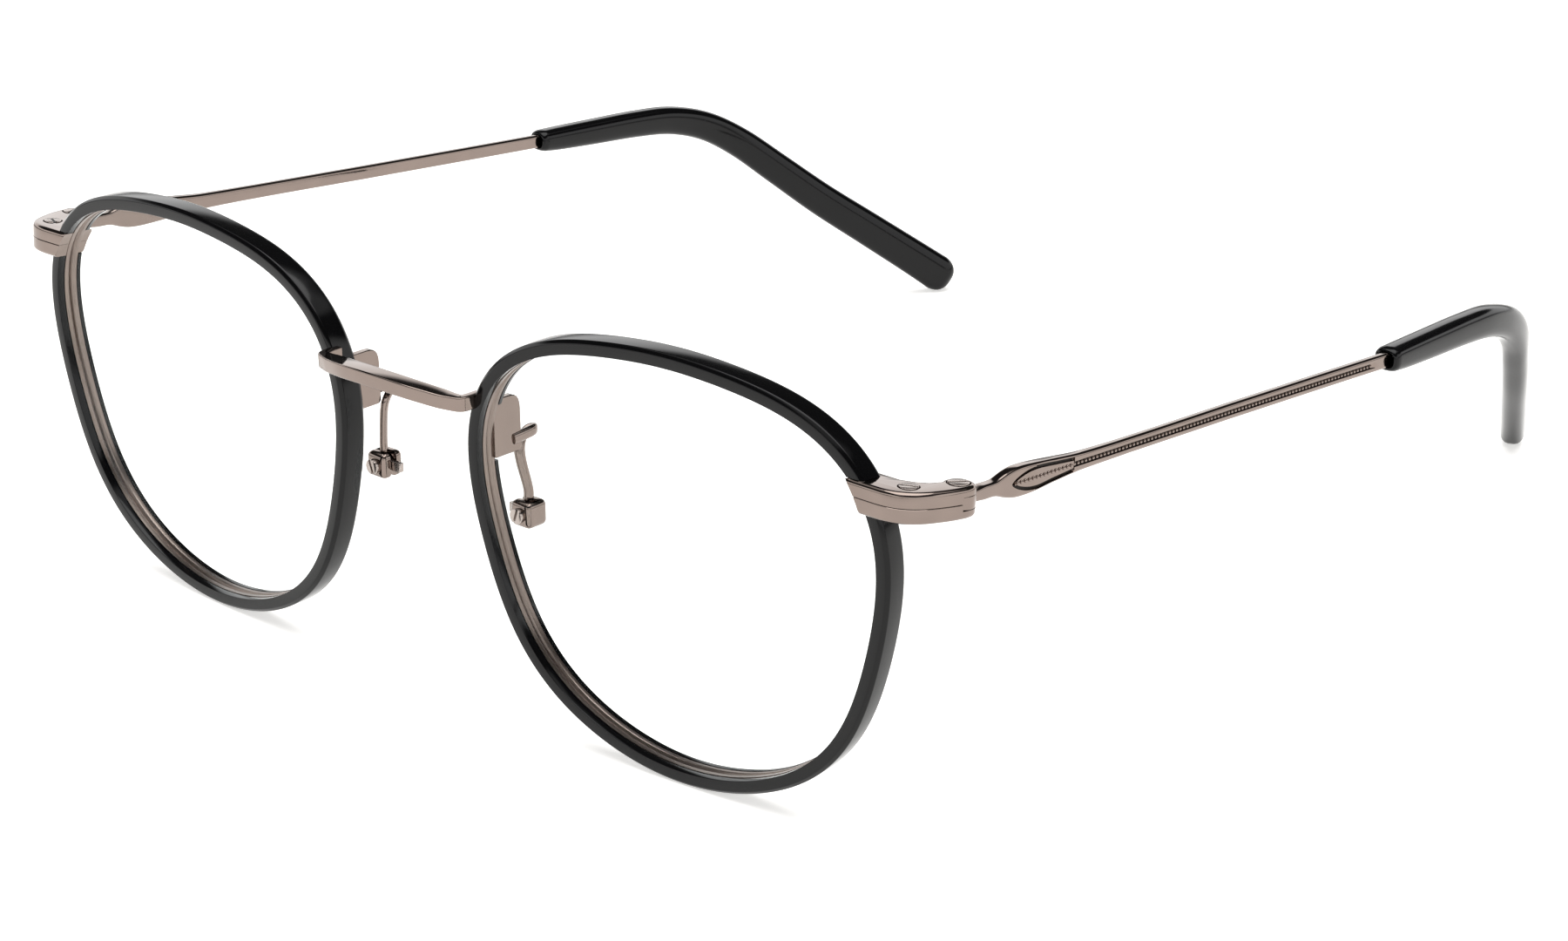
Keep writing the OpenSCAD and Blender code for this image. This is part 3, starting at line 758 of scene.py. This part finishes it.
class GLASSES_OT_temples(bpy.types.Operator):
    """The folding temples: middle knuckle, neck, paddle with a leaf cut in it, and a wire with a row of beads
    milled along its outer face"""
    bl_idname = "glasses.temples"
    bl_label = "Temples"

    LEAF_START = 7.2
    LEAF_END = 16.8
    BEADS_END = 69.5
    CHANNEL = 0.2
    LEAF_SUNK = 0.06
    BEAD_SUNK = 0.17
    GROOVE = 0.3

    # x, y, z, half height and half thickness along the temple, in the hinge's frame
    STATIONS = [
        (0, 1.2, 0, 0.6, 0.8), (0, 2.1, 0, 0.61, 0.72), (0, 3.2, 0, 0.72, 0.66), (0, 5.0, 0, 0.78, 0.62),
        (0, 6.8, 0, 1.28, 0.64), (0, 8.2, 0, 1.5, 0.66), (0, 10.5, 0, 1.47, 0.66), (-0.1, 14, 0, 1.2, 0.62),
        (-0.15, 18, 0, 0.925, 0.55), (-0.3, 26, 0, 0.825, 0.5),
        (-WIRE_DRIFT * 0.6, TEMPLE_L * 0.6, 0, 0.825, 0.5), (-WIRE_DRIFT, TEMPLE_L + 0.6, 0, 0.825, 0.5)]

    def execute(self, context):
        sizes = context.scene.glasses_sizes
        for side_name, side in SIDES:
            body = f"temple_{side_name}"
            # The recesses piece is painted shade: dark strips laid in the grooves and the bead channel.
            for shape, part, maker, sharp in (
                    (self.bar(sizes), "wire", polished_gunmetal, 32),
                    (self.knuckle(), "knuckle", polished_gunmetal, 40),
                    (self.beads(sizes), "beads", polished_gunmetal, 32),
                    (self.recesses(sizes), "recesses", painted_shade_recess, 32)):
                finished(shape, f"{body}_{part}", side, body, maker, "gunmetal", body, sharp=sharp)
        return {"FINISHED"}

    def dense(self):
        """The stations with rows between them, 0.1 mm apart as far as the leaf's end and 0.4 mm beyond."""
        coarse = self.STATIONS
        made = []
        for i, (a, b) in enumerate(zip(coarse, coarse[1:])):
            before = coarse[max(i - 1, 0)]
            after = coarse[min(i + 2, len(coarse) - 1)]
            count = max(2, round((b[1] - a[1]) / (0.1 if a[1] < 18 else 0.4)))
            for k in range(count):
                t = k / count
                row = []
                for p0, p1, p2, p3 in zip(before, a, b, after):
                    row.append(p1 + (p2 - p1) * (3 * t * t - 2 * t ** 3) if p1 == p0 else 0.5 * (
                        2 * p1 + (p2 - p0) * t + (2 * p0 - 5 * p1 + 4 * p2 - p3) * t * t
                        + (3 * p1 - p0 - 3 * p2 + p3) * t ** 3))
                row[1] = a[1] + (b[1] - a[1]) * t
                made.append(row)
        made.append(list(coarse[-1]))
        return made

    def widths(self, y, half_h):
        """Half heights of the leaf's outer edge and of the bead channel, at y along the temple."""
        share = (y - self.LEAF_START) / (self.LEAF_END - self.LEAF_START)
        if share <= 0:
            return 0.0, 0.0
        if share >= 1:
            return 0.0, 0.26
        swell = math.sin(math.pi * min(share * 2.1, 1) / 2) ** 0.6
        outer = (half_h - self.GROOVE) * swell
        inner = outer - self.GROOVE * min(1, share * 12) if share > 0.05 else 0.0
        return outer, max(0.0, inner)

    def sink(self, y, z, half_h, depth):
        """How deep the outer face is cut at height z."""
        outer, inner = self.widths(y, half_h)
        height = abs(z)
        if y >= self.LEAF_END:
            ease = min(1, (self.BEADS_END - y) / 0.6) if y < self.BEADS_END else 0
            return self.CHANNEL * max(0, ease) * (1 if height < inner else 0)
        if outer <= 0:
            return 0.0
        if height < inner:
            return self.LEAF_SUNK
        return depth if height < outer else 0.0

    def bar(self, sizes):
        """Neck, paddle and wire in one: ten points over the cut outer face, then round the other sides."""
        depth, least, slant = sizes.leaf_depth / MM, 0.004, 0.02
        rings = []
        for at, along, row in walk(self.dense()):
            half_h, half_t = row[3], row[4]
            side = level(along)
            corner = min(0.34, half_h * 0.42)
            flat = half_h - corner
            outer, inner = self.widths(at.y, half_h)
            marks = [-flat, flat]
            for edge in (-outer, -inner, inner, outer):
                marks += [edge - 0.03, edge + 0.03]
            zs = []
            for i, mark in enumerate(sorted(marks)):
                z = max(-flat + least * i, min(flat - least * (9 - i), mark))
                zs.append(max(z, zs[-1] + least) if zs else z)
            ring = []
            for i, z in enumerate(zs):
                felt = z + (slant if i % 2 == 0 else -slant) if 0 < i < 9 else z
                ring.append(Vector((half_t - self.sink(at.y, felt, half_h, depth), z)))
            for quarter, steps in enumerate((range(1, 7), range(7), range(7), range(6))):
                x = half_t - corner if quarter in (0, 3) else corner - half_t
                z = flat if quarter < 2 else -flat
                for a in (math.pi / 2 * (quarter + k / 6) for k in steps):
                    ring.append(Vector((x + corner * math.cos(a), z + corner * math.sin(a))))
            rings.append([in_hinge(*(at + side * p.x + Vector((0, 0, p.y)))) for p in ring])
        return skin(rings)

    def recesses(self, sizes):
        """Thin dark floors of painted shade in the two leaf grooves and in the bead channel, where shade
        falls.
        """
        depth = sizes.leaf_depth / MM
        strips = ([], [], [])
        for at, along, row in walk(self.dense()):
            half_h, half_t = row[3], row[4]
            side = level(along)
            outer, inner = self.widths(at.y, half_h)
            spans = []
            if self.LEAF_START < at.y < self.LEAF_END and outer - inner > 0.08:
                spans = [(0, inner + 0.03, outer - 0.03, depth), (1, -outer + 0.03, -inner - 0.03, depth)]
            elif self.LEAF_END + 0.1 < at.y < self.BEADS_END - 0.7:
                spans = [(2, -inner + 0.03, inner - 0.03, self.CHANNEL)]
            for which, low, high, deep in spans:
                strips[which].append([in_hinge(*(at + side * (half_t - deep + x) + Vector((0, 0, z))))
                                      for x, z in ((-0.02, low), (0.03, low), (0.03, high), (-0.02, high))])
        joined = bmesh.new()
        for rings in strips:
            part = skin(rings)
            mesh = bpy.data.meshes.new("strip")
            part.to_mesh(mesh)
            part.free()
            joined.from_mesh(mesh)
            bpy.data.meshes.remove(mesh)
        return joined

    @staticmethod
    def knuckle():
        """The middle knuckle, a drum with a bore for the hinge screw."""
        bore = 0.64
        profile = rounded([(bore, -KNUCKLE_HALF, 0.04), (KNUCKLE_R, -KNUCKLE_HALF, 0.08),
                           (KNUCKLE_R, KNUCKLE_HALF, 0.08), (bore, KNUCKLE_HALF, 0.04)])
        return skin([[in_hinge(p.x * math.cos(a), p.x * math.sin(a), p.y) for p in profile]
                     for a in round_about(64)], loop=True)

    def beads(self, sizes):
        """The row of beads down the leaf and the channel."""
        bm = bmesh.new()
        pitch, radius = sizes.bead_pitch / MM, sizes.bead_radius / MM
        rows = self.dense()
        start = self.LEAF_START + 0.8
        for i in range(int((self.BEADS_END - start) / pitch)):
            y = start + i * pitch
            row = min(rows, key=lambda r: abs(r[1] - y))
            sunk = self.LEAF_SUNK if y < self.LEAF_END else self.BEAD_SUNK
            centre = in_hinge(row[0] + row[4] - sunk, y, row[2])
            bmesh.ops.create_uvsphere(bm, u_segments=10, v_segments=7, radius=radius,
                                      matrix=Matrix.Translation(centre))
        return bm


class GLASSES_OT_tips(bpy.types.Operator):
    """The black tips moulded over the temple wires, broad and round at the end"""
    bl_idname = "glasses.tips"
    bl_label = "Temple tips"

    PATH = [
        (-1.3, 0, 0), (-1.5, 3, 0), (-1.9, 8.5, 0.1), (-2.5, 16.5, 0.25), (-3.1, 22.5, 0), (-4.1, 28, -1.3),
        (-5.7, 33, -3.9), (-8.2, 38, -7.7), (-11.2, 43.5, -12), (-14.6, 49.5, -16.3),
        (-17.8, 55.2, -20.39), (-19.8, 58.7, -22.964)]
    START_H, END_H, THICK = 1.275, 2.45, 1.5

    def execute(self, context):
        for side_name, side in SIDES:
            finished(self.tip(), f"tip_{side_name}_acetate", side, f"temple_{side_name}", black_acetate,
                     "black_acetate", f"temple_tip_{side_name}", sharp=50)
        return {"FINISHED"}

    def tip(self):
        """A sleeve that swells along its path, with a stepped mouth and a round end."""
        last = len(self.PATH) - 1
        rows = []
        for i, (x, y, z) in enumerate(self.PATH):
            grow = (i / last) ** 0.8
            rows.append((x, y + TEMPLE_L, z, self.START_H + (self.END_H - self.START_H) * grow))
        path = list(walk(smooth_path(rows, 8)))
        rings = []
        first, way = path[0][:2]
        for share, back in ((0.5, 1.2), (0.55, 0.25), (0.72, 0.0), (0.84, 0.06), (0.93, 0.25)):
            rings.append(square_ring(first + way * back, way, self.THICK * share, self.START_H * share))
        for at, way, row in path[2:-2]:
            rings.append(square_ring(at, way, self.THICK, row[3]))
        last, way = path[-1][:2]
        end = last - way * 0.6
        for k in range(13):
            a = math.pi / 2 * k / 12.6
            share = math.cos(a) ** 0.85
            rings.append(square_ring(end + way * self.END_H * math.sin(a), way,
                                     self.THICK * min(1, 1.15 * share), self.END_H * share))
        return skin([[in_hinge(*p) for p in ring] for ring in rings])


class GLASSES_OT_pad_mounts(bpy.types.Operator):
    """The pad plates behind the eyewires, the looped strips that leave them and the boxes the pads sit in"""
    bl_idname = "glasses.pad_mounts"
    bl_label = "Pad mounts"

    def execute(self, context):
        width = context.scene.glasses_sizes.metal_bevel / MM
        for side_name, side in SIDES:
            for shape, part, sharp in ((self.plate(width), "plate", 40), (self.box(), "box", 40),
                                       (self.arm(), "arm", 32)):
                node = f"pad_{part}_{side_name}"
                finished(shape, f"{node}_metal", side, "front", polished_gunmetal, "gunmetal", node,
                         sharp=sharp)
        return {"FINISHED"}

    @staticmethod
    def plate(width):
        """A flat leaf standing front to back, its rear upper corner well rounded."""
        low, high = PLATE_BOX
        rear = high.y + 0.8
        corners = [(low.y, low.z, 0.3), (rear, low.z, 0.5), (rear, high.z, 1.6), (low.y, high.z, 0.4)]
        centre = Vector(((low.y + high.y) / 2, (low.z + high.z) / 2))
        flat = rounded(corners, 6)
        rings = []
        for x, inset in ((low.x, width), (low.x + width, 0), (high.x - width, 0), (high.x, width)):
            drawn = [p - (p - centre).normalized() * inset for p in flat]
            rings.append([Vector((x, p.x, p.y)) for p in drawn])
        return skin(rings)

    @staticmethod
    def box():
        """The tumbled box with the slot that takes the pad's tab."""
        half = BOX_SIDE / 2
        bm = block([-half] * 3, [half] * 3, Matrix.Translation(PAD_PIVOT))
        bmesh.ops.bevel(bm, geom=bm.edges[:], offset=0.62, segments=5, profile=0.5, affect="EDGES")
        slot = block((-2 * half, -0.42, -2 * half), (1.15, 0.42, 2 * half), Matrix.Translation(PAD_PIVOT))
        return carve(bm, slot)

    @staticmethod
    def arm():
        """The strip, from the plate back, round a flat loop and down to the box."""
        low, high = PLATE_BOX
        back, box_top = high.y, PAD_PIVOT.z + 1.4
        x = (low.x + high.x) / 2
        z = low.z + 1.4
        rows = smooth_path([
            (x + 0.25, back - 0.3, z, 0.6), (x + 0.3, back + 1.4, z + 0.1, 0.6),
            (x + 0.2, back + 2.5, z + 0.15, 0.6), (x - 0.15, back + 3.0, z + 0.1, 0.6),
            (x - 0.5, back + 2.6, z - 0.05, 0.6), (x - 0.55, back + 1.8, z - 0.5, 0.55),
            (x - 0.45, back + 1.25, z - 1.5, 0.58), (x - 0.2, back + 1.2, z - 3, 0.55),
            (PAD_PIVOT.x, PAD_PIVOT.y, box_top + 1.2, 0.52),
            (PAD_PIVOT.x, PAD_PIVOT.y, box_top - 0.1, 0.52)], 8)
        half_thick = 0.42
        rings = []
        turn = Vector((1, 0, 0))
        for at, along, row in walk(rows):
            turn = (turn - along * turn.dot(along)).normalized()
            rings.append(oval(at, turn * half_thick, along.cross(turn) * row[3], 16))
        return skin(rings)


class GLASSES_OT_pads(bpy.types.Operator):
    """The soft clear nose pads with the metal tabs that hold them on their screws"""
    bl_idname = "glasses.pads"
    bl_label = "Nose pads"

    HEIGHT, WIDTH, THICK = 13.0, 7.0, 2.4

    def execute(self, context):
        for side_name, side in SIDES:
            body, insert = f"nose_pad_{side_name}", f"pad_insert_{side_name}"
            finished(softened(insert, 0.06), f"pad_tab_{side_name}", 1, body, turned_steel, "screw_steel",
                     insert, sharp=40)
            finished(self.pad(), f"{body}_soft", side, body, clear_pad, "pad_clear", body, sharp=60)
        return {"FINISHED"}

    def pad(self):
        """A flattened drop, narrower at the top, with a notch for its box."""
        centre = PAD_PIVOT + Vector((-2.75, 1.5, -1.0))
        turn = (Matrix.Translation(centre) @ Matrix.Rotation(math.radians(-28), 4, "Z")
                @ Matrix.Rotation(math.radians(-12), 4, "Y"))
        rings = []
        layers = 14
        for i in range(layers + 1):
            a = -math.pi / 2 + math.pi * i / layers
            across = math.sin(a)
            spread = max(0.02, math.cos(a)) ** 0.45
            ring = []
            for b in round_about(48):
                y = self.WIDTH / 2 * math.cos(b) * spread * (1 - 0.12 * math.sin(b))
                z = self.HEIGHT / 2 * math.sin(b) * spread
                ring.append(turn @ Vector((self.THICK / 2 * across, y, z)))
            rings.append(ring)
        half = BOX_SIDE / 2
        notch = block((PAD_PIVOT.x - half - 0.3, PAD_PIVOT.y - half - 0.6, PAD_PIVOT.z - half - 0.6),
                      (PAD_PIVOT.x + 2 * half, PAD_PIVOT.y + half + 0.6, PAD_PIVOT.z + half + 0.6))
        return carve(skin(rings), notch)


class GLASSES_OT_stage(bpy.types.Operator):
    """A glowing light table, one broad overhead light, a surround and the camera"""
    bl_idname = "glasses.stage"
    bl_label = "Studio"

    AIM = (50.46, 0, 37.157)
    DISTANCE = 367.42
    FOCAL = 90.56
    TIP_FORWARD = math.radians(-0.7)
    FRONT_SHIFT = 0.289
    FLOOR_HALF = 6.0
    SUN_ANGLE = math.radians(60)

    def execute(self, context):
        scene = context.scene
        studio = scene.glasses_studio
        bm = bmesh.new()
        bmesh.ops.create_grid(bm, x_segments=8, y_segments=8, size=self.FLOOR_HALF)
        mesh = bpy.data.meshes.new("paper_sweep")
        bm.to_mesh(mesh)
        bm.free()
        floor = bpy.data.objects.new("paper_sweep", mesh)
        mesh.materials.append(studio_floor())
        scene.collection.objects.link(floor)
        self.surround(scene, studio)
        key = bpy.data.lights.new("overhead_key", "SUN")
        key.energy = studio.key
        key.angle = self.SUN_ANGLE
        lamp = bpy.data.objects.new("overhead_key", key)
        scene.collection.objects.link(lamp)
        self.camera(scene, studio)
        scene.view_settings.view_transform = "Standard"
        return {"FINISHED"}

    @staticmethod
    def surround(scene, studio):
        """From below upwards: dim, then bright walls with an uneven upper edge, then nearly dark, then a
        paler top."""
        world = bpy.data.worlds.new("studio")
        scene.world = world
        world.use_nodes = True
        tree = world.node_tree
        tree.nodes.clear()
        way = add(tree, "ShaderNodeTexCoord").outputs["Generated"]
        height = add(tree, "ShaderNodeSeparateXYZ", Vector=way).outputs["Z"]
        gaps = add(tree, "ShaderNodeTexNoise", {"Scale": 1.6, "Detail": 0.0}, Vector=way)
        shifted = add(tree, "ShaderNodeMath", {"operation": "MULTIPLY_ADD", 1: 0.45},
                      _0=gaps.outputs["Fac"], _2=height)
        ramp = add(tree, "ShaderNodeValToRGB", Fac=shifted.outputs["Value"])
        dim, bright, dark, top = 0.4, 1.7, 0.04, 0.8
        stops = [(0.0, dim), (0.24, dim), (0.36, bright), (0.6, bright), (0.68, dark), (0.95, dark),
                 (1.0, top)]
        elements = ramp.color_ramp.elements
        while len(elements) < len(stops):
            elements.new(0.5)
        for element, (position, level) in zip(elements, stops):
            element.position = position
            element.color = (level, level, level, 1)
        back = add(tree, "ShaderNodeBackground", {"Strength": studio.fill}, Color=ramp.outputs["Color"])
        add(tree, "ShaderNodeOutputWorld", Surface=back.outputs["Background"])

    def camera(self, scene, studio):
        az, el = studio.azimuth, studio.elevation
        forward = Vector((-math.sin(az) * math.cos(el), math.cos(az) * math.cos(el), -math.sin(el)))
        right = Vector((math.cos(az), math.sin(az), 0))
        up = right.cross(forward)
        turn = Matrix((right, up, -forward)).transposed() @ Matrix.Rotation(studio.roll, 3, "Z")
        place = Vector(self.AIM) - forward * self.DISTANCE
        lean = Matrix.Rotation(self.TIP_FORWARD, 3, "X")
        place = lean @ place + Vector((0, EYE.y - self.FRONT_SHIFT, 0))
        data = bpy.data.cameras.new("camera")
        data.lens = self.FOCAL
        data.sensor_width = 36.0
        data.clip_start = 0.01
        data.clip_end = 30
        made = bpy.data.objects.new("camera", data)
        made.matrix_world = Matrix.Translation(place * MM) @ (lean @ turn).to_4x4()
        scene.collection.objects.link(made)
        scene.camera = made


STEPS = (
    GLASSES_OT_rims, GLASSES_OT_eyewires, GLASSES_OT_lenses, GLASSES_OT_bridge, GLASSES_OT_end_pieces,
    GLASSES_OT_screws, GLASSES_OT_temples, GLASSES_OT_tips, GLASSES_OT_pad_mounts, GLASSES_OT_pads,
    GLASSES_OT_stage)


class GLASSES_PT_panel(bpy.types.Panel):
    """Every step of the build, with the sizes, colours and studio settings"""
    bl_idname = "GLASSES_PT_panel"
    bl_label = "Eyeglasses"
    bl_space_type = "VIEW_3D"
    bl_region_type = "UI"
    bl_category = "Eyeglasses"

    def draw(self, context):
        layout = self.layout
        for step in STEPS:
            layout.operator(step.bl_idname, text=step.bl_label)
        scene = context.scene
        for group in (scene.glasses_sizes, scene.glasses_colours, scene.glasses_studio):
            box = layout.box()
            for key in group.__annotations__:
                box.prop(group, key)


GROUPS = (GlassesSizes, GlassesColours, GlassesStudio)


def register():
    for made in GROUPS + STEPS + (GLASSES_PT_panel,):
        bpy.utils.register_class(made)
    bpy.types.Scene.glasses_sizes = PointerProperty(type=GlassesSizes)
    bpy.types.Scene.glasses_colours = PointerProperty(type=GlassesColours)
    bpy.types.Scene.glasses_studio = PointerProperty(type=GlassesStudio)


def unregister():
    del bpy.types.Scene.glasses_sizes
    del bpy.types.Scene.glasses_colours
    del bpy.types.Scene.glasses_studio
    for made in reversed(GROUPS + STEPS + (GLASSES_PT_panel,)):
        bpy.utils.unregister_class(made)


def main():
    register()
    for step in STEPS:
        group, name = step.bl_idname.split(".")
        getattr(getattr(bpy.ops, group), name)()


if __name__ == "__main__":
    main()
